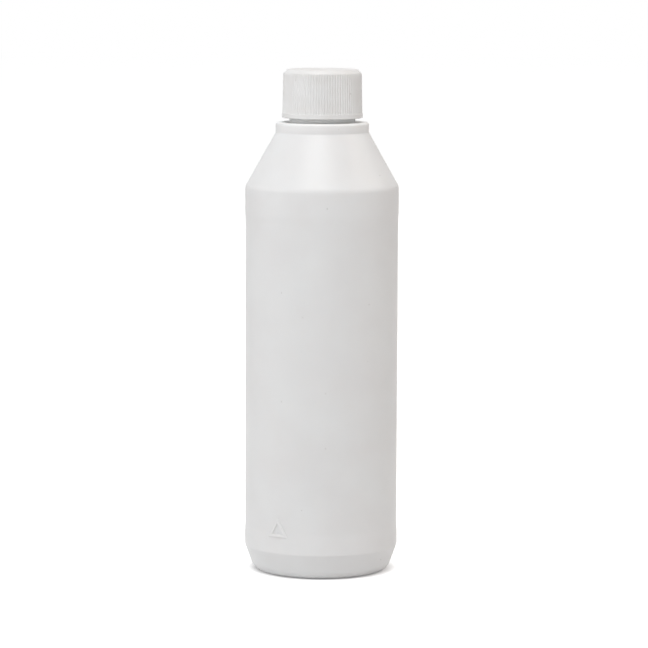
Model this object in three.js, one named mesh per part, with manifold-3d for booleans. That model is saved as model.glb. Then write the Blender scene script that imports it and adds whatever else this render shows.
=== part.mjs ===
// Round plastic bottle with a tapered shoulder and a ribbed screw cap, about 400 ml.
//
// Three pieces: the blow moulded bottle with its neck thread, the injection moulded cap with its own thread,
// and the foam liner that the cap presses on the bottle's lip. The bottle is given as two solids, body and neck.
// Millimetres, +Z up, origin at the centre of the base. The front faces -Y.

import * as THREE from "three";
import { mergeVertices } from "three/addons/utils/BufferGeometryUtils.js";
import Module from "manifold-3d";

const wasm = await Module();
wasm.setup();

// Driving sizes: bottle body
const bodyRadius = 30.0;
const bodyWall = 1.0;
const shoulderHeight = 151.2; // where the straight wall meets the tapered shoulder
const shoulderTaper = 29.3; // degrees from vertical
const shoulderFillet = 4.2;
const labelRecess = 0.2; // the label panel lies this much inside the lands below and above it
const lowerLand = 5.0;
const upperLand = 10.2;
const labelRun = 3.0; // height of the soft step between a land and the panel

// Driving sizes: base
const footHeight = 10.0; // height of the tapered foot
const footTaper = 19.9; // degrees from vertical
const footFillet = 4.6;
const standingWidth = 3.4; // flat ring that the bottle stands on
const pushUp = 3.4; // rise of the base at its centre
const baseWall = 1.3;

// Driving sizes: collar and neck
const neckRadius = 12.85;
const neckWall = 2.05;
const finishHeight = 18.0; // lip above the collar
const lipFillet = 0.4;
const collarLedge = 5.35; // collar beyond the neck
const collarHeight = 3.9;
const collarFillet = 0.8;

// Driving sizes: screw thread, shared by neck and cap
const threadPitch = 25.4 / 6;
const threadTurns = 1.5;
const threadDepth = 0.9;
const neckThreadCrest = 1.0;
const capThreadCrest = 0.7;
const threadDrop = 1.4; // lip to the top of the neck's thread
const pressureFlank = 10; // degrees from horizontal, the side that pulls the cap down
const freeFlank = 45; // degrees from horizontal
const flankGap = 0.32; // up and down, between the pressure flanks
const crestGap = 0.3; // sideways, between a thread's crest and the wall that faces it

// Driving sizes: cap
const capWall = 0.91; // bore to the bottom of the grooves, at the top
const capPlate = 1.25; // thickness of the cap's top
const capBevel = 1.7; // 45 degree edge round the top
const capEdgeFillet = 0.6;
const capCollarGap = 1.6; // cap to collar when the cap is tight
const ribCount = 90;
const ribDepth = 0.32;
const ribDraft = 0.27; // the grip's foot is this much wider in radius than its top
const flangeHeight = 1.9; // smooth ring under the ribs
const flangeProud = 0.2; // flange beyond the foot of the ribs
const flangeFillet = 0.4;
const gateRadius = 1.9; // shallow dimple of the injection gate
const gateDepth = 0.25;

// Driving sizes: liner
const linerThickness = 1.1;
const linerSideGap = 0.4; // liner to the cap's bore
const seatGap = 0.1; // liner to lip, and liner to the cap's top

// Driving sizes: raised triangle low on the wall
const triangleSide = 9.0;
const triangleLine = 1.3;
const triangleRelief = 0.4;
const triangleLift = 6.3; // its lower edge above the tapered foot
const triangleAngle = -34.3; // degrees round from the front, towards +X

// Smoothness
const arcSag = 0.036; // an arc's chords stay this close to it
const roundSteps = 64;
const domeSteps = 5;
const threadStepsPerTurn = 32;
const threadFadeSteps = 4; // at each end the thread rises from nothing over this many steps
const embed = 0.4; // how far a joined feature reaches into what carries it

// Sizes that follow
const footRadius = bodyRadius - footHeight * slope(footTaper); // where the foot's slant would meet the ground
const standingInner = footRadius - footFillet * slope((90 - footTaper) / 2) - standingWidth;
const panelRadius = bodyRadius - labelRecess;
const collarRadius = neckRadius + collarLedge;
const collarLow = shoulderHeight + (bodyRadius - collarRadius) / slope(shoulderTaper);
const collarTop = collarLow + collarHeight;
const boreRadius = neckRadius - neckWall;
const lipHeight = collarTop + finishHeight;
const linerLow = lipHeight + seatGap;
const plateUnderside = linerLow + linerThickness + seatGap;
const capTop = plateUnderside + capPlate;
const capLow = collarTop + capCollarGap;
const capBore = neckRadius + threadDepth + crestGap;
const gripTopRadius = capBore + capWall + ribDepth;
const gripFootRadius = gripTopRadius + ribDraft;
const pressureRise = threadDepth * slope(pressureFlank);
const freeRise = threadDepth * slope(freeFlank);
const neckThreadHeight = pressureRise + neckThreadCrest + freeRise;
const threadLow = lipHeight - threadDrop - neckThreadHeight - threadTurns * threadPitch;

const bottlePlastic = new THREE.MeshStandardMaterial({ color: 0xe9e9ea, roughness: 0.5, metalness: 0 });
const capPlastic = new THREE.MeshStandardMaterial({ color: 0xe8e8e8, roughness: 0.45, metalness: 0 });
const linerFoam = new THREE.MeshStandardMaterial({ color: 0xf3f3f1, roughness: 0.85, metalness: 0 });

function slope(degrees) {
  return Math.tan(THREE.MathUtils.degToRad(degrees));
}

// Points of an outline given as corners [radius, height, fillet], with an arc at each corner that has a fillet
function rounded(corners) {
  const places = corners.map(([r, z]) => new THREE.Vector2(r, z));
  return corners.flatMap(([, , fillet], i) => (
    fillet ? filletArc(places[i - 1], places[i], places[i + 1], fillet) : [places[i]]
  ));
}

// Arc that touches both sides of a corner
function filletArc(before, corner, after, radius) {
  const back = before.clone().sub(corner).normalize();
  const ahead = after.clone().sub(corner).normalize();
  const half = back.angleTo(ahead) / 2;
  const middle = back.clone().add(ahead).normalize();
  const centre = corner.clone().addScaledVector(middle, radius / Math.sin(half));
  const first = corner.clone().addScaledVector(back, radius / Math.tan(half)).sub(centre);
  const last = corner.clone().addScaledVector(ahead, radius / Math.tan(half)).sub(centre);
  const turn = Math.atan2(first.cross(last), first.dot(last));
  const steps = Math.max(1, Math.ceil(Math.abs(turn) / (2 * Math.acos(1 - arcSag / radius))));
  return Array.from({ length: steps + 1 }, (_, k) => (
    first.clone().rotateAround(new THREE.Vector2(), (turn * k) / steps).add(centre)
  ));
}

// Solid of revolution about Z, from an outline of [radius, height] that starts and ends on the axis
function turned(corners) {
  const geometry = new THREE.LatheGeometry(rounded(corners), roundSteps);
  geometry.rotateX(Math.PI / 2);
  return toSolid(geometry);
}

// Closed three.js geometry as a solid that can be joined and cut
function toSolid(geometry) {
  geometry.deleteAttribute("normal");
  geometry.deleteAttribute("uv");
  const merged = mergeVertices(geometry, 1e-4);
  const corners = merged.index.array;
  const triVerts = [];
  for (let i = 0; i < corners.length; i += 3) {
    const [a, b, c] = corners.slice(i, i + 3);
    if (a !== b && b !== c && c !== a) {
      triVerts.push(a, b, c);
    }
  }
  return new wasm.Manifold(new wasm.Mesh({
    numProp: 3,
    vertProperties: merged.attributes.position.array,
    triVerts: new Uint32Array(triVerts),
  }));
}

// A solid as a named three.js mesh
function toMesh(name, solid, material) {
  const made = solid.getMesh();
  const geometry = new THREE.BufferGeometry();
  geometry.setAttribute("position", new THREE.BufferAttribute(made.vertProperties, made.numProp));
  geometry.setIndex(new THREE.BufferAttribute(made.triVerts, 1));
  geometry.computeVertexNormals();
  const mesh = new THREE.Mesh(geometry, material);
  mesh.name = name;
  return mesh;
}

// Ridge that climbs round Z from threadLow. section(share) lists its corners [radius, height over the helix],
// counterclockwise, with the ridge's depth scaled by share.
function helicalRidge(section) {
  const steps = Math.round(threadTurns * threadStepsPerTurn);
  const positions = [];
  for (let i = 0; i <= steps; i++) {
    const turns = i / threadStepsPerTurn;
    const share = Math.min(1, (Math.min(i, steps - i) + 0.2) / threadFadeSteps);
    for (const [r, z] of section(share)) {
      const angle = 2 * Math.PI * turns;
      positions.push(r * Math.cos(angle), r * Math.sin(angle), threadLow + threadPitch * turns + z);
    }
  }
  const sides = section(1).length;
  const index = [];
  for (let i = 0; i < steps; i++) {
    for (let k = 0; k < sides; k++) {
      const a = i * sides + k;
      const b = i * sides + ((k + 1) % sides);
      index.push(a, a + sides, b, b, a + sides, b + sides);
    }
  }
  const end = steps * sides;
  for (let k = 1; k < sides - 1; k++) {
    index.push(0, k, k + 1, end, end + k + 1, end + k);
  }
  const geometry = new THREE.BufferGeometry();
  geometry.setAttribute("position", new THREE.Float32BufferAttribute(positions, 3));
  geometry.setIndex(index);
  return toSolid(geometry);
}

// The base's push-up: a shallow dome inside the standing ring
function dome(lift) {
  return Array.from({ length: domeSteps }, (_, k) => {
    const across = k / domeSteps;
    return [standingInner * across, lift + pushUp * (1 - across ** 2)];
  });
}

// Outside of the bottle, from the centre of the base up to the lip
function bottleOutside() {
  const panelLow = footHeight + lowerLand + labelRun;
  const panelHigh = shoulderHeight - upperLand - labelRun;
  return turned([
    ...dome(0),
    [standingInner, 0],
    [footRadius, 0, footFillet],
    [bodyRadius, footHeight, footFillet / 2],
    [bodyRadius, panelLow - labelRun],
    [panelRadius, panelLow],
    [panelRadius, panelHigh],
    [bodyRadius, panelHigh + labelRun],
    [bodyRadius, shoulderHeight, shoulderFillet],
    [collarRadius, collarLow, collarFillet],
    [collarRadius, collarTop, collarFillet],
    [neckRadius, collarTop, collarFillet / 2],
    [neckRadius, lipHeight, lipFillet],
    [0, lipHeight],
  ]);
}

// Hollow of the bottle, a wall's thickness inside it, which leaves through the neck
function bottleHollow() {
  const innerRadius = panelRadius - bodyWall;
  const acrossFoot = bodyWall / Math.cos(THREE.MathUtils.degToRad(footTaper));
  const acrossShoulder = bodyWall / Math.cos(THREE.MathUtils.degToRad(shoulderTaper));
  const onFoot = (z) => footRadius - acrossFoot + z * slope(footTaper);
  const onShoulder = (z) => bodyRadius - acrossShoulder - (z - shoulderHeight) * slope(shoulderTaper);
  const footBend = (innerRadius - onFoot(0)) / slope(footTaper);
  const shoulderBend = shoulderHeight + (onShoulder(shoulderHeight) - innerRadius) / slope(shoulderTaper);
  const underCollar = collarTop - 1.5 * bodyWall;
  const lipInner = boreRadius + lipFillet / 2;
  return turned([
    ...dome(baseWall),
    [standingInner, baseWall],
    [onFoot(baseWall), baseWall, footFillet - baseWall],
    [innerRadius, footBend, footFillet / 2],
    [innerRadius, shoulderBend, shoulderFillet],
    [onShoulder(underCollar), underCollar, bodyWall],
    [boreRadius, underCollar, bodyWall],
    [boreRadius, lipHeight - lipFillet],
    [lipInner, lipHeight],
    [lipInner, lipHeight + embed],
    [0, lipHeight + embed],
  ]);
}

// Neck's thread: nearly flat pressure flank below, slanted free flank above
function neckThread() {
  const root = neckRadius - embed;
  return helicalRidge((share) => {
    const crest = neckRadius + threadDepth * share;
    const crestLow = pressureRise * share;
    return [
      [root, 0],
      [crest, crestLow],
      [crest, neckThreadHeight - freeRise * share],
      [root, neckThreadHeight],
    ];
  });
}

// Cap's thread, which lies just under the neck's thread when the cap is tight
function capThread() {
  const root = capBore + embed;
  const high = (capBore - neckRadius) * slope(pressureFlank) - flankGap;
  const low = high - pressureRise - capThreadCrest - freeRise;
  return helicalRidge((share) => {
    const crest = capBore - threadDepth * share;
    return [
      [root, high],
      [crest, high - pressureRise * share],
      [crest, low + freeRise * share],
      [root, low],
    ];
  });
}

// Outline of a triangle that stands a little proud of the wall and follows its curve
function raisedTriangle() {
  const height = triangleSide * Math.sin(Math.PI / 3);
  const corners = (inset) => [
    new THREE.Vector2(-triangleSide / 2 + inset * Math.sqrt(3), inset),
    new THREE.Vector2(triangleSide / 2 - inset * Math.sqrt(3), inset),
    new THREE.Vector2(0, height - 2 * inset),
  ];
  const shape = new THREE.Shape(corners(0));
  shape.holes.push(new THREE.Path(corners(triangleLine)));
  const reach = bodyRadius / 4; // passes right through the curved wall, and what is too long is trimmed
  const geometry = new THREE.ExtrudeGeometry(shape, { depth: reach, bevelEnabled: false, steps: 1 });
  geometry.rotateX(Math.PI / 2);
  geometry.translate(0, reach / 2 - bodyRadius, footHeight + triangleLift);
  geometry.rotateZ(THREE.MathUtils.degToRad(triangleAngle));
  const face = panelRadius + triangleRelief;
  const above = footHeight + triangleLift + height + embed;
  return toSolid(geometry).intersect(turned([[0, footHeight], [face, footHeight], [face, above], [0, above]]));
}

// The bottle is one moulding. Its body and its neck are two solids that meet in a level face under the collar.
function makeBottle() {
  const solid = bottleOutside().add(neckThread()).add(raisedTriangle()).subtract(bottleHollow());
  const [neck, body] = solid.splitByPlane([0, 0, 1], collarLow);
  return [toMesh("bottle", body, bottlePlastic), toMesh("neck", neck, bottlePlastic)];
}

// The cap's grip: a prism of fine ribs, narrower at the top as its mould needs
function ribbedGrip() {
  const low = capLow + flangeHeight / 2;
  const shape = new THREE.Shape();
  for (let rib = 0; rib < ribCount; rib++) {
    const across = [[0, 0], [0.4, 0], [0.6, ribDepth], [0.8, ribDepth]]; // crest, then groove, in rib widths
    for (const [share, depth] of across) {
      const angle = (2 * Math.PI * (rib + share)) / ribCount;
      const r = gripFootRadius - depth;
      const place = [r * Math.cos(angle), r * Math.sin(angle)];
      if (rib + share === 0) {
        shape.moveTo(...place);
      } else {
        shape.lineTo(...place);
      }
    }
  }
  const geometry = new THREE.ExtrudeGeometry(shape, { depth: capTop - low, bevelEnabled: false, steps: 1 });
  const position = geometry.getAttribute("position");
  for (let i = 0; i < position.count; i++) {
    const scale = position.getZ(i) > 0 ? gripTopRadius / gripFootRadius : 1;
    position.setXY(i, position.getX(i) * scale, position.getY(i) * scale);
  }
  geometry.translate(0, 0, low);
  return toSolid(geometry);
}

// Outside limits of the grip: a bevelled top with the gate's dimple
function capTrim() {
  const wide = gripFootRadius + embed;
  return turned([
    [0, capLow],
    [wide, capLow],
    [wide, capTop - capBevel - (wide - gripTopRadius)],
    [gripTopRadius - capBevel, capTop, capEdgeFillet],
    [gateRadius, capTop],
    [gateRadius - gateDepth, capTop - gateDepth],
    [0, capTop - gateDepth],
  ]);
}

function capFlange() {
  const radius = gripFootRadius + flangeProud;
  return turned([
    [0, capLow],
    [radius, capLow, flangeFillet],
    [radius, capLow + flangeHeight, flangeFillet / 2],
    [0, capLow + flangeHeight],
  ]);
}

// Inside of the cap, with a chamfered mouth
function capHollow() {
  return turned([
    [0, capLow - embed],
    [capBore + 2 * embed, capLow - embed],
    [capBore, capLow + embed],
    [capBore, plateUnderside, linerSideGap],
    [0, plateUnderside],
  ]);
}

function makeCap() {
  const solid = ribbedGrip().intersect(capTrim()).add(capFlange()).subtract(capHollow()).add(capThread());
  return toMesh("cap", solid, capPlastic);
}

function makeLiner() {
  const radius = capBore - linerSideGap;
  const high = linerLow + linerThickness;
  return toMesh("liner", turned([[0, linerLow], [radius, linerLow], [radius, high], [0, high]]), linerFoam);
}

const bottleWithCap = new THREE.Group();
bottleWithCap.add(...makeBottle(), makeCap(), makeLiner());

export default bottleWithCap;
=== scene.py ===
"""Tall round white plastic bottle with a tapered shoulder and a ribbed screw cap.

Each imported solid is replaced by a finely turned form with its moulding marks, then a plain pale floor, soft
lights and the camera are added. Metres, +Z up, the front faces -Y.
"""

from math import ceil, cos, pi, radians, sin, sqrt, tan

import bmesh
import bpy
from bpy.props import FloatProperty, FloatVectorProperty, IntProperty, PointerProperty
from mathutils import Matrix, Vector


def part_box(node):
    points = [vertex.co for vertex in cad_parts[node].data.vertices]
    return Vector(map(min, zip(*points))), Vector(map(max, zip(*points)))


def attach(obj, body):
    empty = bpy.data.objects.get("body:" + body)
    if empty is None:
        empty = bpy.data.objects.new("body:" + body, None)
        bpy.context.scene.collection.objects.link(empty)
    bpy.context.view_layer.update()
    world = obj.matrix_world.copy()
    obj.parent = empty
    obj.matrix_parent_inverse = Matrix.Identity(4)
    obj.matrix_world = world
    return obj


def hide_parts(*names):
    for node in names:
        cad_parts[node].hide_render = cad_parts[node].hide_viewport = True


bl_info = {
    "name": "White bottle with a ribbed cap",
    "version": (1, 0, 0),
    "blender": (4, 5, 0),
    "location": "3D View > Sidebar > Bottle",
    "description": "Builds a round plastic bottle, its screw cap and liner, and a plain studio",
    "category": "Object",
}

MM = 0.001
# Points closer together than this become one
MERGE = 0.001 * MM
# Materials that one operator makes and others use
RELIEF = "Blow moulded polyethylene, raised"
POLYPROPYLENE = "Injection moulded polypropylene"

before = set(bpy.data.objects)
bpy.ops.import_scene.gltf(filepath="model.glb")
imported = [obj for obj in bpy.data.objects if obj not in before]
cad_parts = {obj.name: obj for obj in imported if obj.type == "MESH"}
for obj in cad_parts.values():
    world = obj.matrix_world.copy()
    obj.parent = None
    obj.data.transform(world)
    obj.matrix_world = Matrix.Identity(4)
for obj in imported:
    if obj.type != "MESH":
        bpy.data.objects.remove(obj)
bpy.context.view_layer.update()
BOTTLE_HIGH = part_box("bottle")[1]
NECK_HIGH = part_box("neck")[1]
CAP_LOW, CAP_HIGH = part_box("cap")
LINER_LOW, LINER_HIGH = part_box("liner")


def linear(code):
    """Linear colour of an sRGB hex code such as #e9e9ea."""
    parts = [int(code[i : i + 2], 16) / 255 for i in (1, 3, 5)]
    return tuple(c / 12.92 if c <= 0.04045 else ((c + 0.055) / 1.055) ** 2.4 for c in parts)


def length(name, millimetres, text):
    """A length that the user can change."""
    return FloatProperty(name=name, description=text, default=millimetres * MM, unit="LENGTH", precision=5)


def angle(name, degrees, text):
    """An angle that the user can change."""
    return FloatProperty(name=name, description=text, default=radians(degrees), unit="ROTATION")


def share(name, value, text):
    """A number from 0 to 1 that the user can change."""
    return FloatProperty(name=name, description=text, default=value, min=0.0, max=1.0, subtype="FACTOR")


def power(name, watts, text):
    """A lamp's power that the user can change."""
    return FloatProperty(name=name, description=text, default=watts, min=0.0, unit="POWER")


def colour(name, code, text):
    """A colour that the user can change."""
    return FloatVectorProperty(
        name=name, description=text, default=linear(code), size=3, min=0.0, max=1.0, subtype="COLOR"
    )


class BottleForm(bpy.types.PropertyGroup):
    """Sizes and colour of the blow moulded bottle."""

    body_radius: length("Body radius", BOTTLE_HIGH.x / MM, "Outer radius with the mould's flash")
    flash: length("Flash", 0.04, "How far the parting line stands proud")
    shoulder_height: length("Shoulder height", 151.2, "Where the straight wall meets the tapered shoulder")
    shoulder_taper: angle("Shoulder taper", 29.3, "Slant of the shoulder from vertical")
    shoulder_fillet: length("Shoulder fillet", 4.2, "Rounding between wall and shoulder")
    panel_recess: length("Panel recess", 0.2, "The label panel lies this much inside the lands")
    lower_land: length("Lower land", 5.0, "Height of the full width band above the foot")
    upper_land: length("Upper land", 10.2, "Height of the full width band under the shoulder")
    panel_run: length("Panel run", 3.0, "Height of the soft step between a land and the panel")
    panel_fillet: length("Panel fillet", 18.0, "Rounding of that step")
    foot_height: length("Foot height", 10.0, "Height of the tapered foot")
    foot_taper: angle("Foot taper", 19.9, "Slant of the foot from vertical")
    foot_fillet: length("Foot fillet", 4.6, "Rounding under the foot")
    standing_width: length("Standing width", 3.4, "Flat ring that the bottle stands on")
    ring_fillet: length("Ring fillet", 2.5, "Rounding inside the standing ring")
    push_up: length("Push-up", 3.4, "Rise of the base at its centre")
    wall: length("Wall", 1.0, "Thickness of the body's wall")
    base_wall: length("Base wall", 1.3, "Thickness of the base")
    neck_radius: length("Neck radius", 12.85, "Outer radius of the neck under its thread")
    neck_wall: length("Neck wall", 2.05, "Thickness of the neck's wall")
    lip_fillet: length("Lip fillet", 0.4, "Rounding of the lip")
    collar_ledge: length("Collar ledge", 5.35, "Collar beyond the neck")
    collar_height: length("Collar height", 3.9, "Height of the collar's straight side")
    collar_fillet: length("Collar fillet", 0.8, "Rounding of the collar")
    triangle_side: length("Triangle side", 9.0, "Raised triangle, outer side")
    triangle_line: length("Triangle line", 1.3, "Width of the triangle's line")
    triangle_relief: length("Triangle relief", 0.32, "How far the triangle stands proud")
    triangle_lift: length("Triangle lift", 6.3, "Its lower edge above the tapered foot")
    triangle_angle: angle("Triangle angle", -34.3, "Its place round from the front, towards +X")
    weld_length: length("Weld length", 24.0, "Pinched weld across the base")
    plastic: colour("Bottle colour", "#ebebeb", "White polyethylene")
    tint: colour("Bottle tint", "#e8e7e7", "The same plastic where it is a little duller")
    # Painted light: a whiter white for the neck and the collar's ledge, which lifts the shade in the gap
    # under the cap
    neck_white: colour("Neck painted light", "#f0f0ef", "The same plastic in the thicker wall of the neck")


class ThreadForm(bpy.types.PropertyGroup):
    """Sizes of the screw thread that neck and cap share."""

    pitch: length("Pitch", 25.4 / 6, "Rise of the thread in one turn")
    turns: FloatProperty(name="Turns", description="Length of the thread in turns", default=1.5)
    depth: length("Depth", 0.9, "Height of the thread over its wall")
    neck_crest: length("Neck crest", 1.0, "Width of the neck thread's crest")
    cap_crest: length("Cap crest", 0.7, "Width of the cap thread's crest")
    drop: length("Drop", 1.4, "Lip to the top of the neck's thread")
    pressure_flank: angle("Pressure flank", 10.0, "Slant from level of the side that pulls the cap down")
    free_flank: angle("Free flank", 45.0, "Slant from level of the other side")
    flank_gap: length("Flank gap", 0.32, "Room between the two threads' pressure flanks")
    crest_gap: length("Crest gap", 0.3, "Room between a crest and the wall that faces it")
    edge: length("Edge rounding", 0.18, "Rounding of the crest's edges")
    fade: share("Fade", 0.09, "Part of its length in which each end of the thread sinks into the wall")


class CapForm(bpy.types.PropertyGroup):
    """Sizes and colour of the screw cap."""

    flange_radius: length("Flange radius", CAP_HIGH.x / MM, "Smooth ring at the cap's foot")
    flange_proud: length("Flange proud", 0.2, "Flange beyond the ribs")
    flange_height: length("Flange height", 1.9, "Height of the smooth ring")
    flange_fillet: length("Flange fillet", 0.4, "Rounding of the ring's lower edge")
    draft: length("Draft", 0.27, "The grip is this much narrower in radius at its top")
    rib_count: IntProperty(name="Ribs", description="Number of ribs round the grip", default=90)
    rib_depth: length("Rib depth", 0.28, "Depth of the grooves between the ribs")
    bevel: length("Bevel", 1.7, "45 degree edge round the top")
    bevel_fillet: length("Bevel fillet", 1.1, "Rounding of the bevel's two edges")
    plate: length("Plate", 1.25, "Thickness of the cap's top")
    gate_radius: length("Gate radius", 1.9, "Shallow dimple where the plastic was injected")
    gate_depth: length("Gate depth", 0.25, "Depth of that dimple")
    nib_radius: length("Nib radius", 0.5, "Broken-off nib in the dimple")
    plastic: colour("Cap colour", "#e7e7e7", "White polypropylene")
    tint: colour("Cap tint", "#e3e2e1", "The same plastic where it is a little duller")
    foam: colour("Liner colour", "#f0efea", "Off-white foam of the liner")


class StudioForm(bpy.types.PropertyGroup):
    """Camera, lamps and floor."""

    camera_place: FloatVectorProperty(
        name="Camera place", description="Where the camera stands", default=(0.000963, -1.2801, 0.2446),
        size=3, subtype="TRANSLATION",
    )
    camera_pitch: angle("Camera pitch", 6.583, "Tilt of the view below level")
    camera_roll: angle("Camera roll", 0.228, "Turn of the camera about its view")
    lens: FloatProperty(
        name="Lens", description="Focal length on a 36 mm wide sensor", default=182.54, unit="CAMERA"
    )
    left: power("Left lamp", 6.9, "Soft lamp at the left")
    front: power("Front lamp", 7.4, "Low soft lamp behind the camera")
    high: power("High lamp", 16.5, "Soft lamp high in front")
    top: power("Top lamp", 5.0, "Overhead soft lamp")
    right: power("Right lamp", 6.5, "Weak soft lamp at the right")
    right_tone: colour("Right lamp tone", "#fff0e3", "Warm light of the right lamp")
    ambient: share("Ambient", 0.2, "Even light from all round")
    floor_glow: share("Floor glow", 0.85, "White that the floor shows of itself, away from the bottle")
    # Inside the glow start the floor has no glow: painted shade round the foot, on top of the real contact
    # shadow
    glow_start: length("Glow start", 22.0, "Distance from the axis where that white begins")
    glow_full: length("Glow full", 32.0, "Distance from the axis where it is full")
    floor: colour("Floor colour", "#dedede", "Pale studio floor")


def add_node(tree, kind, inputs=None, **settings):
    """Adds a node with its settings. Its inputs take values, sockets, or nodes for their first output."""
    node = tree.nodes.new(kind)
    for key, value in settings.items():
        setattr(node, key, value)
    for key, value in (inputs or {}).items():
        if isinstance(value, bpy.types.Node):
            value = value.outputs[0]
        if isinstance(value, bpy.types.NodeSocket):
            tree.links.new(value, node.inputs[key])
        else:
            node.inputs[key].default_value = value
    return node


def new_tree(name, **sizes):
    """Geometry tree with named sizes and a material as inputs. Returns the tree and its input sockets."""
    tree = bpy.data.node_groups.new(name, "GeometryNodeTree")
    tree.interface.new_socket("Geometry", in_out="OUTPUT", socket_type="NodeSocketGeometry")
    tree.interface.new_socket("Geometry", in_out="INPUT", socket_type="NodeSocketGeometry")
    for label, kind in sizes.items():
        tree.interface.new_socket(label.replace("_", " "), in_out="INPUT", socket_type="NodeSocket" + kind)
    tree.interface.new_socket("Material", in_out="INPUT", socket_type="NodeSocketMaterial")
    return tree, tree.nodes.new("NodeGroupInput").outputs


def close_tree(tree, given, result):
    """Ends a geometry tree with smooth shading, real geometry and the material."""
    smooth = add_node(tree, "GeometryNodeSetShadeSmooth", {"Geometry": result})
    real = add_node(tree, "GeometryNodeRealizeInstances", {"Geometry": smooth})
    painted = add_node(tree, "GeometryNodeSetMaterial", {"Geometry": real, "Material": given["Material"]})
    add_node(tree, "NodeGroupOutput", {"Geometry": painted})
    return tree


def sweep_tree():
    """Sweeps an outline in the XZ plane round Z, with a rise for a thread, and fades its ends to the root."""
    tree, given = new_tree(
        "Sweep round the axis", Segments="Int", Sweep_Angle="Float", Rise="Float", Root="Vector", Fade="Float"
    )
    outline = given["Geometry"]
    rows = add_node(tree, "GeometryNodeAttributeDomainSize", {"Geometry": outline}, component="MESH")
    columns = add_node(tree, "ShaderNodeMath", {0: given["Segments"], 1: 1.0}, operation="ADD")
    counts = {"Vertices X": columns, "Vertices Y": rows}
    grid = add_node(tree, "GeometryNodeMeshGrid", {"Size X": 1.0, "Size Y": 1.0, **counts})
    place = add_node(tree, "GeometryNodeInputPosition")
    across = add_node(tree, "ShaderNodeSeparateXYZ", {0: place})
    # From 0 at the start of the sweep to 1 at its end
    way = add_node(tree, "ShaderNodeMath", {0: across, 1: 0.5}, operation="ADD")
    index = add_node(tree, "GeometryNodeInputIndex")
    row = add_node(tree, "ShaderNodeMath", {0: index, 1: rows}, operation="FLOORED_MODULO")
    corner = add_node(
        tree,
        "GeometryNodeSampleIndex",
        {"Geometry": outline, "Value": place, "Index": row},
        data_type="FLOAT_VECTOR",
    )
    other_way = add_node(tree, "ShaderNodeMath", {0: 1.0, 1: way}, operation="SUBTRACT")
    to_end = add_node(tree, "ShaderNodeMath", {0: way, 1: other_way}, operation="MINIMUM")
    faded = add_node(
        tree,
        "ShaderNodeMapRange",
        {"Value": to_end, "From Max": given["Fade"]},
        interpolation_type="SMOOTHSTEP",
    )
    fading = add_node(tree, "ShaderNodeMath", {0: given["Fade"], 1: 0.0}, operation="GREATER_THAN")
    size = add_node(
        tree, "GeometryNodeSwitch", {"Switch": fading, "False": 1.0, "True": faded}, input_type="FLOAT"
    )
    arm = add_node(tree, "ShaderNodeVectorMath", {0: corner, 1: given["Root"]}, operation="SUBTRACT")
    shrunk = add_node(tree, "ShaderNodeVectorMath", {0: arm, "Scale": size}, operation="SCALE")
    section = add_node(tree, "ShaderNodeVectorMath", {0: shrunk, 1: given["Root"]}, operation="ADD")
    climb = add_node(tree, "ShaderNodeMath", {0: way, 1: given["Rise"]}, operation="MULTIPLY")
    lift = add_node(tree, "ShaderNodeCombineXYZ", {"Z": climb})
    lifted = add_node(tree, "ShaderNodeVectorMath", {0: section, 1: lift}, operation="ADD")
    turn = add_node(tree, "ShaderNodeMath", {0: way, 1: given["Sweep Angle"]}, operation="MULTIPLY")
    turned = add_node(
        tree, "ShaderNodeVectorRotate", {"Vector": lifted, "Angle": turn}, rotation_type="Z_AXIS"
    )
    swept = add_node(tree, "GeometryNodeSetPosition", {"Geometry": grid, "Position": turned})
    merged = add_node(tree, "GeometryNodeMergeByDistance", {"Geometry": swept, "Distance": MERGE})
    return close_tree(tree, given, merged)


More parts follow.
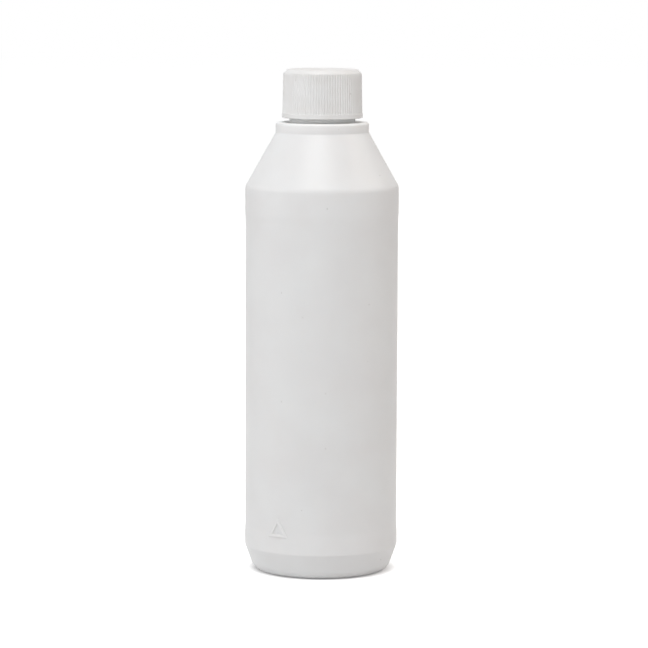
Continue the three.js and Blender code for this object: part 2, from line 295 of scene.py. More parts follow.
def groove_tree():
    """Cuts even upright grooves into a turned grip, no deeper than a cone that tapers with the grip."""
    tree, given = new_tree(
        "Grip grooves",
        Ribs="Int",
        Depth="Float",
        Foot_Height="Float",
        Top_Height="Float",
        Foot_Radius="Float",
        Top_Radius="Float",
    )
    place = add_node(tree, "GeometryNodeInputPosition")
    at = add_node(tree, "ShaderNodeSeparateXYZ", {0: place}).outputs
    flat = add_node(tree, "ShaderNodeCombineXYZ", {"X": at["X"], "Y": at["Y"]})
    radius = add_node(tree, "ShaderNodeVectorMath", {0: flat}, operation="LENGTH").outputs["Value"]
    around = add_node(tree, "ShaderNodeMath", {0: at["Y"], 1: at["X"]}, operation="ARCTAN2")
    turns = add_node(tree, "ShaderNodeMath", {0: around, 1: 2 * pi}, operation="DIVIDE")
    ribs = add_node(tree, "ShaderNodeMath", {0: turns, 1: given["Ribs"]}, operation="MULTIPLY")
    # In ribs from the middle of the nearest crest, 0.5 at the middle of a groove
    from_crest = add_node(tree, "ShaderNodeMath", {0: ribs, 1: 0.5}, operation="PINGPONG")
    crest_end, groove_floor = 0.12, 0.42
    groove = add_node(
        tree,
        "ShaderNodeMapRange",
        {"Value": from_crest, "From Min": crest_end, "From Max": groove_floor, "To Max": given["Depth"]},
        interpolation_type="SMOOTHSTEP",
    )
    crest = add_node(
        tree,
        "ShaderNodeMapRange",
        {
            "Value": at["Z"],
            "From Min": given["Foot Height"],
            "From Max": given["Top Height"],
            "To Min": given["Foot Radius"],
            "To Max": given["Top Radius"],
        },
    )
    floor = add_node(tree, "ShaderNodeMath", {0: crest, 1: groove}, operation="SUBTRACT")
    kept = add_node(tree, "ShaderNodeMath", {0: radius, 1: floor}, operation="MINIMUM")
    factor = add_node(tree, "ShaderNodeMath", {0: kept, 1: radius}, operation="DIVIDE")
    squeeze = add_node(tree, "ShaderNodeCombineXYZ", {"X": factor, "Y": factor, "Z": 1.0})
    cut = add_node(tree, "ShaderNodeVectorMath", {0: place, 1: squeeze}, operation="MULTIPLY")
    low = given["Foot Height"]
    above = add_node(tree, "ShaderNodeMath", {0: at["Z"], 1: low}, operation="GREATER_THAN")
    # A vertex on the axis has no radius to divide by
    off_axis = add_node(tree, "ShaderNodeMath", {0: radius, 1: 0.1 * MM}, operation="GREATER_THAN")
    chosen = add_node(tree, "ShaderNodeMath", {0: above, 1: off_axis}, operation="MULTIPLY")
    grooved = add_node(
        tree, "GeometryNodeSetPosition", {"Geometry": given["Geometry"], "Selection": chosen, "Position": cut}
    )
    return close_tree(tree, given, grooved)


def bead_tree():
    """Runs a bead with rounded edges along a line in the XY plane. Across lies in it, Proud along Z."""
    tree, given = new_tree("Bead along a line", Across="Float", Proud="Float", Edge="Float")
    line = add_node(tree, "GeometryNodeMeshToCurve", {"Mesh": given["Geometry"]})
    upright = add_node(tree, "GeometryNodeSetCurveNormal", {"Curve": line}, mode="Z_UP")
    box = add_node(
        tree, "GeometryNodeCurvePrimitiveQuadrilateral", {"Width": given["Across"], "Height": given["Proud"]}
    )
    soft = add_node(
        tree,
        "GeometryNodeFilletCurve",
        {"Curve": box, "Count": 3, "Radius": given["Edge"], "Limit Radius": True},
        mode="POLY",
    )
    bead = add_node(
        tree, "GeometryNodeCurveToMesh", {"Curve": upright, "Profile Curve": soft, "Fill Caps": True}
    )
    merged = add_node(tree, "GeometryNodeMergeByDistance", {"Geometry": bead, "Distance": MERGE})
    return close_tree(tree, given, merged)


def wrap_tree():
    """Wraps a flat relief in the XY plane, which stands up along Z, round an upright wall."""
    tree, given = new_tree("Wrap round the wall", Radius="Float", Angle="Float", Height="Float")
    fine = add_node(tree, "GeometryNodeSubdivideMesh", {"Mesh": given["Geometry"], "Level": 2})
    place = add_node(tree, "GeometryNodeInputPosition")
    at = add_node(tree, "ShaderNodeSeparateXYZ", {0: place}).outputs
    arc = add_node(tree, "ShaderNodeMath", {0: at["X"], 1: given["Radius"]}, operation="DIVIDE")
    turn = add_node(tree, "ShaderNodeMath", {0: arc, 1: given["Angle"]}, operation="ADD")
    out = add_node(tree, "ShaderNodeMath", {0: at["Z"], 1: given["Radius"]}, operation="ADD")
    front = add_node(tree, "ShaderNodeMath", {0: out, 1: -1.0}, operation="MULTIPLY")
    up = add_node(tree, "ShaderNodeMath", {0: at["Y"], 1: given["Height"]}, operation="ADD")
    flat = add_node(tree, "ShaderNodeCombineXYZ", {"Y": front, "Z": up})
    turned = add_node(tree, "ShaderNodeVectorRotate", {"Vector": flat, "Angle": turn}, rotation_type="Z_AXIS")
    wrapped = add_node(tree, "GeometryNodeSetPosition", {"Geometry": fine, "Position": turned})
    return close_tree(tree, given, wrapped)


def add_nodes(obj, tree, **sizes):
    """Adds a geometry tree to an object and sets its inputs by their identifiers."""
    modifier = obj.modifiers.new(tree.name, "NODES")
    modifier.node_group = tree
    for item in tree.interface.items_tree:
        key = item.name.replace(" ", "_")
        if item.in_out == "INPUT" and key in sizes:
            modifier[item.identifier] = sizes[key]
    return modifier


def line_object(name, points):
    """Object of one line of points, each (x, y, z)."""
    mesh = bpy.data.meshes.new(name)
    mesh.from_pydata(points, [(i, i + 1) for i in range(len(points) - 1)], [])
    obj = bpy.data.objects.new(name, mesh)
    bpy.context.scene.collection.objects.link(obj)
    return obj


def make_plain(obj, turned=None):
    """Turns an object and its modifiers into a plain mesh with its faces pointing outwards."""
    bpy.context.view_layer.update()
    evaluated = obj.evaluated_get(bpy.context.evaluated_depsgraph_get())
    mesh = bpy.data.meshes.new_from_object(evaluated)
    obj.modifiers.clear()
    obj.data = mesh
    if turned:
        mesh.transform(turned)
    form = bmesh.new()
    form.from_mesh(mesh)
    bmesh.ops.remove_doubles(form, verts=form.verts, dist=MERGE)
    bmesh.ops.dissolve_degenerate(form, edges=form.edges, dist=MERGE / 10)
    bmesh.ops.recalc_face_normals(form, faces=form.faces)
    open_edges = [edge for edge in form.edges if len(edge.link_faces) != 2]
    if open_edges:
        raise RuntimeError(f"{obj.name} has {len(open_edges)} edges that aren't shared by two faces")
    form.to_mesh(mesh)
    form.free()
    mesh.name = obj.name
    return obj


def rounded(corners, arc_step=radians(9)):
    """Points of an outline given as corners (radius, height, fillet). Each fillet is an arc, and a point
    close to it on each straight side keeps the smooth shading of the straight stretch true."""
    points = []
    for i, (r, z, fillet) in enumerate(corners):
        corner = Vector((r, z))
        if not fillet:
            points.append(corner)
            continue
        back = (Vector(corners[i - 1][:2]) - corner).normalized()
        ahead = (Vector(corners[i + 1][:2]) - corner).normalized()
        half = back.angle(ahead) / 2
        reach = fillet / tan(half)
        hold = min(0.3 * MM, fillet / 4)
        centre = corner + (back + ahead).normalized() * fillet / sin(half)
        arm = corner + back * reach - centre
        end = corner + ahead * reach - centre
        steps = max(2, ceil(arm.angle(end) / arc_step))
        side = 1 if arm.x * end.y - arm.y * end.x > 0 else -1
        points.append(corner + back * (reach + hold))
        for k in range(steps + 1):
            turn = Matrix.Rotation(side * arm.angle(end) * k / steps, 2)
            points.append(centre + turn @ arm)
        points.append(corner + ahead * (reach + hold))
    return points


def turned_piece(name, corners, segments, material, sweep, more=()):
    """Closed form turned round Z from an outline that starts and ends on the axis."""
    obj = line_object(name, [(p.x, 0, p.y) for p in rounded(corners)])
    add_nodes(obj, sweep, Segments=segments, Sweep_Angle=2 * pi, Material=material)
    for tree, sizes in more:
        add_nodes(obj, tree, Material=material, **sizes)
    return make_plain(obj)


def finish_piece(obj, body, slot, *solids):
    """Makes a piece ride on its body and stand for its solids. Its slot is not used."""
    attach(obj, body)
    if solids:
        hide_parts(*solids)
    return obj


class BottleShape:
    """Places on the bottle that follow from its sizes."""

    def __init__(self, form):
        self.form = form
        self.land = form.body_radius - form.flash
        self.panel = self.land - form.panel_recess
        self.inside = self.panel - form.wall
        self.foot = self.land - form.foot_height * tan(form.foot_taper)
        foot_reach = form.foot_fillet * tan((pi / 2 - form.foot_taper) / 2)
        self.standing = self.foot - foot_reach - form.standing_width
        self.collar = form.neck_radius + form.collar_ledge
        self.collar_low = form.shoulder_height + (self.land - self.collar) / tan(form.shoulder_taper)
        self.collar_top = self.collar_low + form.collar_height
        self.lip = NECK_HIGH.z
        self.bore = form.neck_radius - form.neck_wall

    def dome(self, lift, steps=14):
        """Push-up of the base from its centre to the standing ring."""
        f = self.form
        return [
            (self.standing * k / steps, lift + f.push_up * (1 - (k / steps) ** 2), 0) for k in range(steps)
        ]

    def outside(self):
        """Corners of the outside, from the standing ring to the lip."""
        f = self.form
        panel_low = f.foot_height + f.lower_land
        panel_high = f.shoulder_height - f.upper_land
        return [
            (self.standing, 0, f.ring_fillet),
            (self.foot, 0, f.foot_fillet),
            (self.land, f.foot_height, f.foot_fillet / 2),
            (self.land, panel_low, f.panel_fillet),
            (self.panel, panel_low + f.panel_run, f.panel_fillet),
            (self.panel, panel_high - f.panel_run, f.panel_fillet),
            (self.land, panel_high, f.panel_fillet),
            (self.land, f.shoulder_height, f.shoulder_fillet),
            (self.collar, self.collar_low, f.collar_fillet),
            (self.collar, self.collar_top, f.collar_fillet),
            (f.neck_radius, self.collar_top, f.collar_fillet / 2),
            (f.neck_radius, self.lip, f.lip_fillet),
            (self.bore, self.lip, f.lip_fillet),
        ]

    def inner(self):
        """Corners of the hollow, from under the collar down to the base."""
        f = self.form
        across_foot = f.wall / cos(f.foot_taper)
        across_shoulder = f.wall / cos(f.shoulder_taper)
        foot_inner = self.foot - across_foot
        under_collar = self.collar_top - 1.5 * f.wall
        shoulder_inner = self.land - across_shoulder
        shoulder_bend = f.shoulder_height + (shoulder_inner - self.inside) / tan(f.shoulder_taper)
        top_inner = shoulder_inner - (under_collar - f.shoulder_height) * tan(f.shoulder_taper)
        return [
            (self.bore, under_collar, f.wall),
            (top_inner, under_collar, f.wall),
            (self.inside, shoulder_bend, f.shoulder_fillet),
            (self.inside, (self.inside - foot_inner) / tan(f.foot_taper), f.foot_fillet / 2),
            (foot_inner + f.base_wall * tan(f.foot_taper), f.base_wall, f.foot_fillet - f.base_wall),
            (self.standing, f.base_wall, f.ring_fillet),
        ]


class BuildBottleShell(bpy.types.Operator):
    """Turns the bottle's body, shoulder, collar and neck as one hollow shell"""

    bl_idname = "bottle.shell"
    bl_label = "Bottle shell"

    def execute(self, context):
        form = context.scene.bottle_form
        shape = BottleShape(form)
        corners = [*shape.dome(0), *shape.outside(), *shape.inner(), *reversed(shape.dome(form.base_wall))]
        plastic = blow_moulded_polyethylene(form, "Blow moulded polyethylene", 0.7)
        blow_moulded_polyethylene(form, RELIEF, 0.0)
        shell = turned_piece("bottle_shell", corners, 256, plastic, sweep_tree())
        finish_piece(shell, "bottle", "bottle", "bottle", "neck")
        return {"FINISHED"}


def thread_rise(thread):
    """Height that each flank takes, pressure side and free side."""
    return thread.depth * tan(thread.pressure_flank), thread.depth * tan(thread.free_flank)


def thread_start(form, thread):
    """Height where the neck's thread begins."""
    pressure, free = thread_rise(thread)
    return NECK_HIGH.z - thread.drop - (pressure + thread.neck_crest + free) - thread.turns * thread.pitch


def thread_piece(name, corners, root, thread, material, steps_in_turn=96):
    """Ridge that climbs round Z, faded into its wall at both ends."""
    section = rounded([corners[-1], *corners, corners[0]], radians(20))[1:-1]
    section.append(section[0])
    obj = line_object(name, [(p.x, 0, p.y) for p in section])
    add_nodes(
        obj,
        sweep_tree(),
        Segments=round(steps_in_turn * thread.turns),
        Sweep_Angle=2 * pi * thread.turns,
        Rise=thread.pitch * thread.turns,
        Root=(root[0], 0, root[1]),
        Fade=thread.fade,
        Material=material,
    )
    return make_plain(obj)


class BuildNeckThread(bpy.types.Operator):
    """Winds the raised thread round the bottle's neck"""

    bl_idname = "bottle.neck_thread"
    bl_label = "Neck thread"

    def execute(self, context):
        form = context.scene.bottle_form
        thread = context.scene.thread_form
        pressure, free = thread_rise(thread)
        start = thread_start(form, thread)
        root = form.neck_radius - 0.4 * MM
        crest = form.neck_radius + thread.depth
        top = pressure + thread.neck_crest + free
        corners = [
            (root, start, 0),
            (crest, start + pressure, thread.edge),
            (crest, start + pressure + thread.neck_crest, thread.edge),
            (root, start + top, 0),
        ]
        ridge = thread_piece(
            "neck_thread", corners, (root, start + top / 2), thread, bpy.data.materials[RELIEF]
        )
        finish_piece(ridge, "bottle", "bottle")
        return {"FINISHED"}


class BuildTriangle(bpy.types.Operator):
    """Raises the small triangle low on the wall, at the left of the front"""

    bl_idname = "bottle.triangle"
    bl_label = "Raised triangle"

    def execute(self, context):
        form = context.scene.bottle_form
        shape = BottleShape(form)
        height = form.triangle_side * sqrt(3) / 2
        sunk = 0.3 * MM

        def ring(inset, z):
            half = form.triangle_side / 2 - inset * sqrt(3)
            return [(-half, inset, z), (half, inset, z), (0, height - 2 * inset, z)]

        levels = [
            ring(0, -sunk),
            ring(0, form.triangle_relief),
            ring(form.triangle_line, form.triangle_relief),
            ring(form.triangle_line, -sunk),
        ]
        mesh = bpy.data.meshes.new("raised_triangle")
        faces = [
            (3 * a + k, 3 * a + (k + 1) % 3, 3 * ((a + 1) % 4) + (k + 1) % 3, 3 * ((a + 1) % 4) + k)
            for a in range(4)
            for k in range(3)
        ]
        mesh.from_pydata([corner for level in levels for corner in level], [], faces)
        obj = bpy.data.objects.new("raised_triangle", mesh)
        context.scene.collection.objects.link(obj)
        bevel = obj.modifiers.new("Soft edges", "BEVEL")
        bevel.width = 0.46 * MM
        bevel.segments = 4
        bevel.limit_method = "ANGLE"
        add_nodes(
            obj,
            wrap_tree(),
            Radius=shape.panel,
            Angle=form.triangle_angle,
            Height=form.foot_height + form.triangle_lift,
            Material=bpy.data.materials[RELIEF],
        )
        finish_piece(make_plain(obj), "bottle", "bottle")
        return {"FINISHED"}


class BuildMouldMarks(bpy.types.Operator):
    """Draws the fine parting lines up both sides and the pinched weld across the base"""

    bl_idname = "bottle.mould_marks"
    bl_label = "Mould marks"

    def execute(self, context):
        form = context.scene.bottle_form
        shape = BottleShape(form)
        plastic = bpy.data.materials[RELIEF]
        beads = bead_tree()
        upright = Matrix.Rotation(pi / 2, 4, "X")
        outline = rounded([*shape.dome(0)[-1:], *shape.outside(), (shape.bore, shape.collar_top, 0)])
        seam = [p for p in outline if p.x > shape.standing and 2 * form.flash < p.y < shape.lip - 1.5 * MM]
        for name, side in (("parting_line_left", -1), ("parting_line_right", 1)):
            line = line_object(name, [(side * p.x, p.y, 0) for p in seam])
            add_nodes(line, beads, Across=2 * form.flash, Proud=0.3 * MM, Edge=form.flash, Material=plastic)
            finish_piece(make_plain(line, upright), "bottle", "bottle")
        half = form.weld_length / 2
        steps = 24
        dome = []
        for k in range(-steps, steps + 1):
            x = half * k / steps
            dome.append((x, form.push_up * (1 - (x / shape.standing) ** 2), 0))
        weld = line_object("base_weld", dome)
        add_nodes(weld, beads, Across=0.6 * MM, Proud=0.7 * MM, Edge=0.2 * MM, Material=plastic)
        finish_piece(make_plain(weld, upright), "bottle", "bottle")
        return {"FINISHED"}


class CapShape:
    """Places on the cap that follow from its sizes."""

    def __init__(self, form, neck, thread):
        self.low = CAP_LOW.z
        self.top = CAP_HIGH.z
        self.flange = form.flange_radius
        self.flange_top = self.low + form.flange_height
        self.grip_foot = self.flange - form.flange_proud
        self.grip_top = self.grip_foot - form.draft
        self.bore = neck.neck_radius + thread.depth + thread.crest_gap
        self.underside = self.top - form.plate


class BuildCapShell(bpy.types.Operator):
    """Turns the cap and cuts the grooves between its ribs"""

    bl_idname = "bottle.cap_shell"
    bl_label = "Cap"

    def execute(self, context):
        scene = context.scene
        form = scene.cap_form
        shape = CapShape(form, scene.bottle_form, scene.thread_form)
        mouth = 0.4 * MM
        gate = shape.top - form.gate_depth
        corners = [
            (0, gate + form.nib_radius / 2, 0),
            (form.nib_radius, gate + form.nib_radius / 2, 0.12 * MM),
            (form.nib_radius, gate, 0.08 * MM),
            (form.gate_radius - form.gate_depth, gate, 0.2 * MM),
            (form.gate_radius, shape.top, 0.15 * MM),
            (shape.grip_top - form.bevel, shape.top, form.bevel_fillet),
            (shape.grip_top, shape.top - form.bevel, form.bevel_fillet),
            (shape.grip_foot, shape.flange_top, 0.06 * MM),
            (shape.flange, shape.flange_top, form.flange_proud / 2),
            (shape.flange, shape.low, form.flange_fillet),
            (shape.bore + mouth, shape.low, 0.12 * MM),
            (shape.bore, shape.low + mouth, 0.12 * MM),
            (shape.bore, shape.underside, mouth),
            (0, shape.underside, 0),
        ]
        grooves = {
            "Ribs": form.rib_count,
            "Depth": form.rib_depth,
            "Foot_Height": shape.flange_top,
            "Top_Height": shape.top,
            "Foot_Radius": shape.grip_foot,
            "Top_Radius": shape.grip_top,
        }
        cap = turned_piece(
            "cap_shell",
            corners,
            8 * form.rib_count,
            injection_moulded_polypropylene(form),
            sweep_tree(),
            [(groove_tree(), grooves)],
        )
        finish_piece(cap, "cap", "cap", "cap")
        return {"FINISHED"}


class BuildCapThread(bpy.types.Operator):
    """Winds the thread inside the cap, just under the neck's thread"""

    bl_idname = "bottle.cap_thread"
    bl_label = "Cap thread"

    def execute(self, context):
        scene = context.scene
        thread = scene.thread_form
        neck = scene.bottle_form
        shape = CapShape(scene.cap_form, neck, thread)
        pressure, free = thread_rise(thread)
        start = thread_start(neck, thread)
        high = start + (shape.bore - neck.neck_radius) * tan(thread.pressure_flank) - thread.flank_gap
        low = high - pressure - thread.cap_crest - free
        root = shape.bore + 0.4 * MM
        crest = shape.bore - thread.depth
        corners = [
            (root, high, 0),
            (crest, high - pressure, thread.edge),
            (crest, low + free, thread.edge),
            (root, low, 0),
        ]
        ridge = thread_piece(
            "cap_thread",
            corners,
            (root, (high + low) / 2),
            thread,
            bpy.data.materials[POLYPROPYLENE],
        )
        finish_piece(ridge, "cap", "cap")
        return {"FINISHED"}


class BuildLiner(bpy.types.Operator):
    """Turns the foam disc under the cap's top, with the ring that the lip has pressed into it"""

    bl_idname = "bottle.liner"
    bl_label = "Liner"

    def execute(self, context):
        scene = context.scene
        neck = scene.bottle_form
        radius = LINER_HIGH.x
        low = LINER_LOW.z
        dent = 0.12 * MM
        bore = neck.neck_radius - neck.neck_wall
        corners = [
            (0, low, 0),
            (bore - 0.3 * MM, low, 0.3 * MM),
            (bore + 0.1 * MM, low + dent, 0.3 * MM),
            (neck.neck_radius - 0.1 * MM, low + dent, 0.2 * MM),
            (neck.neck_radius + 0.2 * MM, low, 0.2 * MM),
            (radius, low, 0.12 * MM),
            (radius, LINER_HIGH.z, 0.12 * MM),
            (0, LINER_HIGH.z, 0),
        ]
        foam = expanded_polyethylene_foam(scene.cap_form)
        disc = turned_piece("liner_disc", corners, 192, foam, sweep_tree())
        finish_piece(disc, "liner", "liner", "liner")
        return {"FINISHED"}


def new_material(name):
    """Empty material. Returns it with its tree and the object's own coordinates."""
    material = bpy.data.materials.new(name)
    material.use_nodes = True
    tree = material.node_tree
    tree.nodes.clear()
    return material, tree, add_node(tree, "ShaderNodeTexCoord").outputs["Object"]


def close_material(material, inputs, relief):
    """Ends a material with a Principled shader. Relief lists fine bumps as pairs of pattern and height."""
    tree = material.node_tree
    normal = {}
    for pattern, height in relief:
        bump = add_node(
            tree, "ShaderNodeBump", {"Height": pattern, "Strength": 1.0, "Distance": height, **normal}
        )
        normal = {"Normal": bump}
    shader = add_node(tree, "ShaderNodeBsdfPrincipled", {**inputs, **normal})
    add_node(tree, "ShaderNodeOutputMaterial", {"Surface": shader})
    return material


def add_whites(tree, place, plain, dull, patch, radius, speck_cell):
    """White plastic's colour: slow patches between two whites, and rare dark specks in cells of the wall."""
    noise = add_node(tree, "ShaderNodeTexNoise", {"Vector": place, "Scale": 1 / patch, "Detail": 2.0})
    spread = add_node(tree, "ShaderNodeMapRange", {"Value": noise, "From Min": 0.35, "From Max": 0.65})
    patches = add_node(tree, "ShaderNodeMix", {0: spread, 6: (*plain, 1), 7: (*dull, 1)}, data_type="RGBA")
    # The wall unrolled: distance round it, and height
    at = add_node(tree, "ShaderNodeSeparateXYZ", {0: place}).outputs
    around = add_node(tree, "ShaderNodeMath", {0: at["Y"], 1: at["X"]}, operation="ARCTAN2")
    arc = add_node(tree, "ShaderNodeMath", {0: around, 1: radius}, operation="MULTIPLY")
    unrolled = add_node(tree, "ShaderNodeCombineXYZ", {"X": arc, "Y": at["Z"]})
    cells = add_node(
        tree, "ShaderNodeTexVoronoi", {"Vector": unrolled, "Scale": 1 / speck_cell}, voronoi_dimensions="2D"
    )
    lot = add_node(tree, "ShaderNodeSeparateColor", {0: cells.outputs["Color"]})
    # One cell in eight holds a speck, some darker than others
    chance = add_node(tree, "ShaderNodeMapRange", {"Value": lot, "From Min": 0.88, "From Max": 1.0})
    core, rim = 0.1 * MM, 0.22 * MM
    reach = {"From Min": core / speck_cell, "From Max": rim / speck_cell}
    spot = add_node(tree, "ShaderNodeMapRange", {"Value": cells, **reach, "To Min": 1.0, "To Max": 0.0})
    dark = add_node(tree, "ShaderNodeMath", {0: chance, 1: spot}, operation="MULTIPLY")
    speck = (*linear("#8f877c"), 1)
    specked = add_node(tree, "ShaderNodeMix", {0: dark, 6: patches.outputs[2], 7: speck}, data_type="RGBA")
    return specked.outputs[2]


def blow_moulded_polyethylene(form, name, translucency):
    """White high density polyethylene, blown against a fine-blasted mould: a soft satin sheen with no sharp
    reflection, a wall that waves very slightly, faint upright die lines and a speck here and there. Raised
    marks are too thin for light to spread inside them."""
    material, tree, place = new_material(name)
    white = add_whites(
        tree, place, form.plastic, form.tint, patch=24 * MM, radius=form.body_radius, speck_cell=9 * MM
    )
    # Painted light: from the collar's ledge up, the neck and the ledge get a whiter white than the body, to
    # lift the shade in the gap under the cap
    at = add_node(tree, "ShaderNodeSeparateXYZ", {0: place}).outputs
    ledge = BottleShape(form).collar_top
    rise = {"Value": at["Z"], "From Min": ledge - 0.1 * MM, "From Max": ledge - 0.02 * MM}
    neck_light_mask = add_node(tree, "ShaderNodeMapRange", rise)
    with_painted_neck_light = add_node(tree, "ShaderNodeMix", {0: neck_light_mask, 6: white, 7: (*form.neck_white, 1)}, data_type="RGBA")
    sheen = add_node(tree, "ShaderNodeTexNoise", {"Vector": place, "Scale": 1 / (14 * MM), "Detail": 3.0})
    rough = add_node(tree, "ShaderNodeMapRange", {"Value": sheen, "To Min": 0.4, "To Max": 0.52})
    # The blown wall waves by a few hundredths of a millimetre over about 20 mm
    wave = add_node(tree, "ShaderNodeTexNoise", {"Vector": place, "Scale": 1 / (20 * MM), "Detail": 1.0})
    # Die lines run up the wall, about 2 mm apart and far longer than wide
    stretched = add_node(tree, "ShaderNodeMapping", {"Vector": place, "Scale": (1.0, 1.0, 0.02)})
    lines = add_node(tree, "ShaderNodeTexNoise", {"Vector": stretched, "Scale": 1 / (2 * MM), "Detail": 1.0})
    # Grain of the blasted mould, drawn at 0.5 mm because the real 0.1 mm wouldn't show
    grain = add_node(tree, "ShaderNodeTexNoise", {"Vector": place, "Scale": 1 / (0.5 * MM), "Detail": 2.0})
    shading = {
        "Base Color": with_painted_neck_light.outputs[2],
        "Roughness": rough,
        "IOR": 1.54,
        "Subsurface Weight": translucency,
        "Subsurface Radius": (1.0, 0.95, 0.92),
        "Subsurface Scale": 2.0 * MM,
    }
    return close_material(material, shading, [(wave, 0.05 * MM), (lines, 0.003 * MM), (grain, 0.006 * MM)])


def injection_moulded_polypropylene(form):
    """White polypropylene, injected into a polished and lightly textured mould: a smoother sheen than the
    bottle's, and a duller flat top with slow flow marks round the gate."""
    material, tree, place = new_material(POLYPROPYLENE)
    white = add_whites(
        tree, place, form.plastic, form.tint, patch=9 * MM, radius=form.flange_radius, speck_cell=6 * MM
    )
    sheen = add_node(tree, "ShaderNodeTexNoise", {"Vector": place, "Scale": 1 / (6 * MM), "Detail": 3.0})
    rough = add_node(tree, "ShaderNodeMapRange", {"Value": sheen, "To Min": 0.34, "To Max": 0.46})
    at = add_node(tree, "ShaderNodeSeparateXYZ", {0: place}).outputs
    top = CAP_HIGH.z
    rise = {"Value": at["Z"], "From Min": top - 0.4 * form.bevel, "From Max": top - 0.1 * form.bevel}
    on_top = add_node(tree, "ShaderNodeMapRange", rise)
    duller = add_node(tree, "ShaderNodeMath", {0: on_top, 1: 0.25, 2: rough}, operation="MULTIPLY_ADD")
    # Flow marks: rings that spread from the gate, hardly raised. A wave texture has 20 radians to its unit
    apart = 4.935 * MM
    unround = {"Distortion": 2.0, "Detail": 1.0, "Detail Scale": 0.4}
    waves = {"Vector": place, "Scale": 2 * pi / 20 / apart, **unround}
    rings = add_node(tree, "ShaderNodeTexWave", waves, wave_type="RINGS", rings_direction="Z")
    marks = add_node(tree, "ShaderNodeMath", {0: rings.outputs["Fac"], 1: on_top}, operation="MULTIPLY")
    grain = add_node(tree, "ShaderNodeTexNoise", {"Vector": place, "Scale": 1 / (0.35 * MM), "Detail": 2.0})
    shading = {
        "Base Color": white,
        "Roughness": duller,
        "IOR": 1.49,
        "Subsurface Weight": 0.1,
        "Subsurface Radius": (1.0, 0.95, 0.92),
        "Subsurface Scale": 0.8 * MM,
    }
    return close_material(material, shading, [(marks, 0.003 * MM), (grain, 0.0015 * MM)])


def expanded_polyethylene_foam(form):
    """Closed-cell polyethylene foam, cut from a sheet: matt, off-white, with cells of about 0.5 mm."""
    material, tree, place = new_material("Expanded polyethylene foam")
    cells = add_node(tree, "ShaderNodeTexVoronoi", {"Vector": place, "Scale": 1 / (0.5 * MM)})
    shade = add_node(tree, "ShaderNodeMapRange", {"Value": cells, "To Min": 1.0, "To Max": 0.88})
    edge = (*linear("#d9d7cf"), 1)
    tone = add_node(tree, "ShaderNodeMix", {0: shade, 6: edge, 7: (*form.foam, 1)}, data_type="RGBA")
    rough = add_node(tree, "ShaderNodeMapRange", {"Value": cells, "To Min": 0.75, "To Max": 0.95})
    shading = {"Base Color": tone.outputs[2], "Roughness": rough, "IOR": 1.5}
    return close_material(material, shading, [(cells, 0.08 * MM)])


def seen_directly(tree):
    """Factor that is 1 for rays from the camera, and for those that gloss or glass sends on."""
    path = add_node(tree, "ShaderNodeLightPath").outputs
    seen = path["Is Camera Ray"]
    for sent in ("Is Glossy Ray", "Is Transmission Ray"):
        seen = add_node(tree, "ShaderNodeMath", {0: seen, 1: path[sent]}, operation="MAXIMUM")
    return seen


def studio_floor(studio):
    """Matt painted board that glows a little to the camera: it reads white and still keeps the shadow. Close
    round the foot it doesn't glow, which paints shade in a ring round the base on top of the real contact
    shadow.
    """
    material, tree, place = new_material("Matt painted board")
    # Roller marks of about 8 mm, too faint to see in the white
    noise = add_node(tree, "ShaderNodeTexNoise", {"Vector": place, "Scale": 1 / (8 * MM)})
    duller = (*linear("#dadada"), 1)
    tone = add_node(tree, "ShaderNodeMix", {0: noise, 6: (*studio.floor, 1), 7: duller}, data_type="RGBA")
    matt = add_node(tree, "ShaderNodeBsdfDiffuse", {"Color": tone.outputs[2]})
    away = add_node(tree, "ShaderNodeVectorMath", {0: place}, operation="LENGTH")
    # Painted shade: no glow close round the foot, so the floor there shows only its lamp-lit grey on top of
    # the real contact shadow
    white = add_node(
        tree,
        "ShaderNodeMapRange",
        {
            "Value": away.outputs["Value"],
            "From Min": studio.glow_start,
            "From Max": studio.glow_full,
            "To Max": studio.floor_glow,
        },
    )
    glow = add_node(tree, "ShaderNodeMath", {0: seen_directly(tree), 1: white}, operation="MULTIPLY")
    light = add_node(tree, "ShaderNodeEmission", {"Strength": glow})
    both = add_node(tree, "ShaderNodeAddShader", {0: matt, 1: light})
    add_node(tree, "ShaderNodeOutputMaterial", {"Surface": both})
    return material


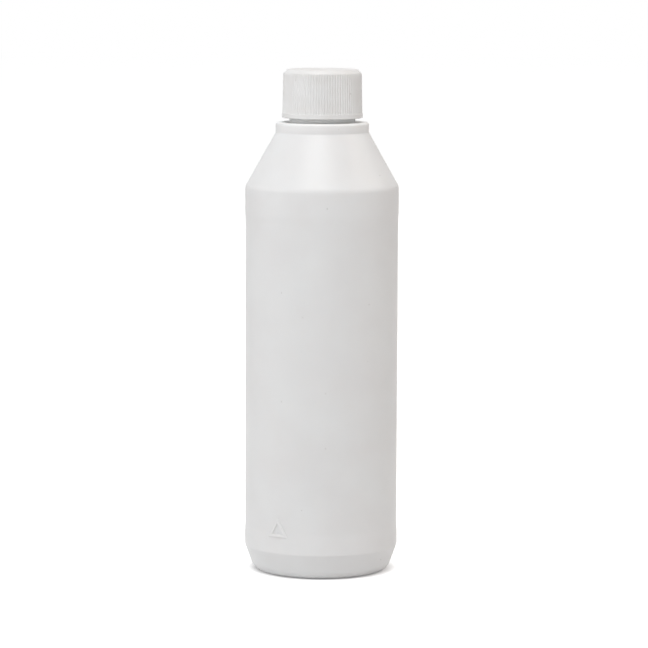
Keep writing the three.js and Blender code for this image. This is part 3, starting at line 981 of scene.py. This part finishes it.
class BuildStudio(bpy.types.Operator):
    """Sets the floor, the soft lamps, the white surroundings and the camera"""

    bl_idname = "bottle.studio"
    bl_label = "Studio"

    def execute(self, context):
        scene = context.scene
        studio = scene.studio_form
        self.add_floor(scene, studio)
        self.add_surroundings(scene, studio)
        self.add_lamp(scene, "left_lamp", -88, 15, studio.left)
        self.add_lamp(scene, "front_lamp", -4, 3, studio.front)
        self.add_lamp(scene, "high_lamp", -15, 60, studio.high)
        self.add_lamp(scene, "top_lamp", 0, 89, studio.top)
        self.add_lamp(scene, "right_lamp", 90, 38, studio.right, studio.right_tone)
        self.add_camera(scene, studio)
        scene.view_settings.view_transform = "Standard"
        return {"FINISHED"}

    def add_floor(self, scene, studio):
        """Wide level disc that the bottle stands on."""
        mesh = bpy.data.meshes.new("studio_floor")
        form = bmesh.new()
        bmesh.ops.create_circle(form, cap_ends=True, segments=96, radius=6.0)
        form.to_mesh(mesh)
        form.free()
        floor = bpy.data.objects.new("studio_floor", mesh)
        floor.data.materials.append(studio_floor(studio))
        scene.collection.objects.link(floor)

    def add_surroundings(self, scene, studio):
        """White all round, at full strength where it is seen and weaker where it lights."""
        world = bpy.data.worlds.new("White surroundings")
        world.use_nodes = True
        tree = world.node_tree
        tree.nodes.clear()
        levels = {"To Min": studio.ambient, "To Max": 1.0}
        strength = add_node(tree, "ShaderNodeMapRange", {"Value": seen_directly(tree), **levels})
        back = add_node(tree, "ShaderNodeBackground", {"Color": (1, 1, 1, 1), "Strength": strength})
        add_node(tree, "ShaderNodeOutputWorld", {"Surface": back})
        scene.world = world

    def add_lamp(self, scene, name, around, above, watts, tone=(1, 1, 1), distance=1.8):
        """Soft lamp, 1 m square, placed by degrees round from the front to +X and degrees above level."""
        lamp = bpy.data.lights.new(name, "AREA")
        lamp.size = 1.0
        lamp.energy = watts
        lamp.color = tone
        obj = bpy.data.objects.new(name, lamp)
        turn = Matrix.Rotation(radians(around), 3, "Z") @ Matrix.Rotation(radians(-above), 3, "X")
        aim = Vector((0, 0, NECK_HIGH.z / 2))
        obj.location = aim + turn @ Vector((0, -distance, 0))
        obj.rotation_euler = (aim - obj.location).to_track_quat("-Z", "Y").to_euler()
        scene.collection.objects.link(obj)

    def add_camera(self, scene, studio):
        """Camera a little above the cap, tilted down by its pitch and turned by its roll."""
        pitch = studio.camera_pitch
        ahead = Vector((0, cos(pitch), -sin(pitch)))
        right = Vector((1, 0, 0))
        up = right.cross(ahead)
        turn = Matrix.Rotation(-studio.camera_roll, 3, ahead)
        camera = bpy.data.cameras.new("camera")
        camera.lens = studio.lens
        camera.sensor_width = 36.0
        camera.clip_end = 50.0
        obj = bpy.data.objects.new("camera", camera)
        axes = Matrix((turn @ right, turn @ up, -ahead)).transposed()
        obj.matrix_world = Matrix.Translation(studio.camera_place) @ axes.to_4x4()
        scene.collection.objects.link(obj)
        scene.camera = obj


OPERATORS = (
    BuildBottleShell,
    BuildNeckThread,
    BuildTriangle,
    BuildMouldMarks,
    BuildCapShell,
    BuildCapThread,
    BuildLiner,
    BuildStudio,
)


class BottlePanel(bpy.types.Panel):
    """Lists the pieces in the order in which they are built."""

    bl_idname = "VIEW3D_PT_bottle"
    bl_label = "White bottle"
    bl_space_type = "VIEW_3D"
    bl_region_type = "UI"
    bl_category = "Bottle"

    def draw(self, context):
        for operator in OPERATORS:
            self.layout.operator(operator.bl_idname)
        for name in SETTINGS:
            box = self.layout.box()
            settings = getattr(context.scene, name)
            for key in settings.bl_rna.properties.keys():
                if key not in ("rna_type", "name"):
                    box.prop(settings, key)


SETTINGS = {
    "bottle_form": BottleForm,
    "thread_form": ThreadForm,
    "cap_form": CapForm,
    "studio_form": StudioForm,
}


def register():
    for cls in (*SETTINGS.values(), *OPERATORS, BottlePanel):
        bpy.utils.register_class(cls)
    for name, group in SETTINGS.items():
        setattr(bpy.types.Scene, name, PointerProperty(type=group))


def unregister():
    for name in SETTINGS:
        delattr(bpy.types.Scene, name)
    for cls in reversed((*SETTINGS.values(), *OPERATORS, BottlePanel)):
        bpy.utils.unregister_class(cls)


def main():
    register()
    bpy.ops.bottle.shell()
    bpy.ops.bottle.neck_thread()
    bpy.ops.bottle.triangle()
    bpy.ops.bottle.mould_marks()
    bpy.ops.bottle.cap_shell()
    bpy.ops.bottle.cap_thread()
    bpy.ops.bottle.liner()
    bpy.ops.bottle.studio()


if __name__ == "__main__":
    main()
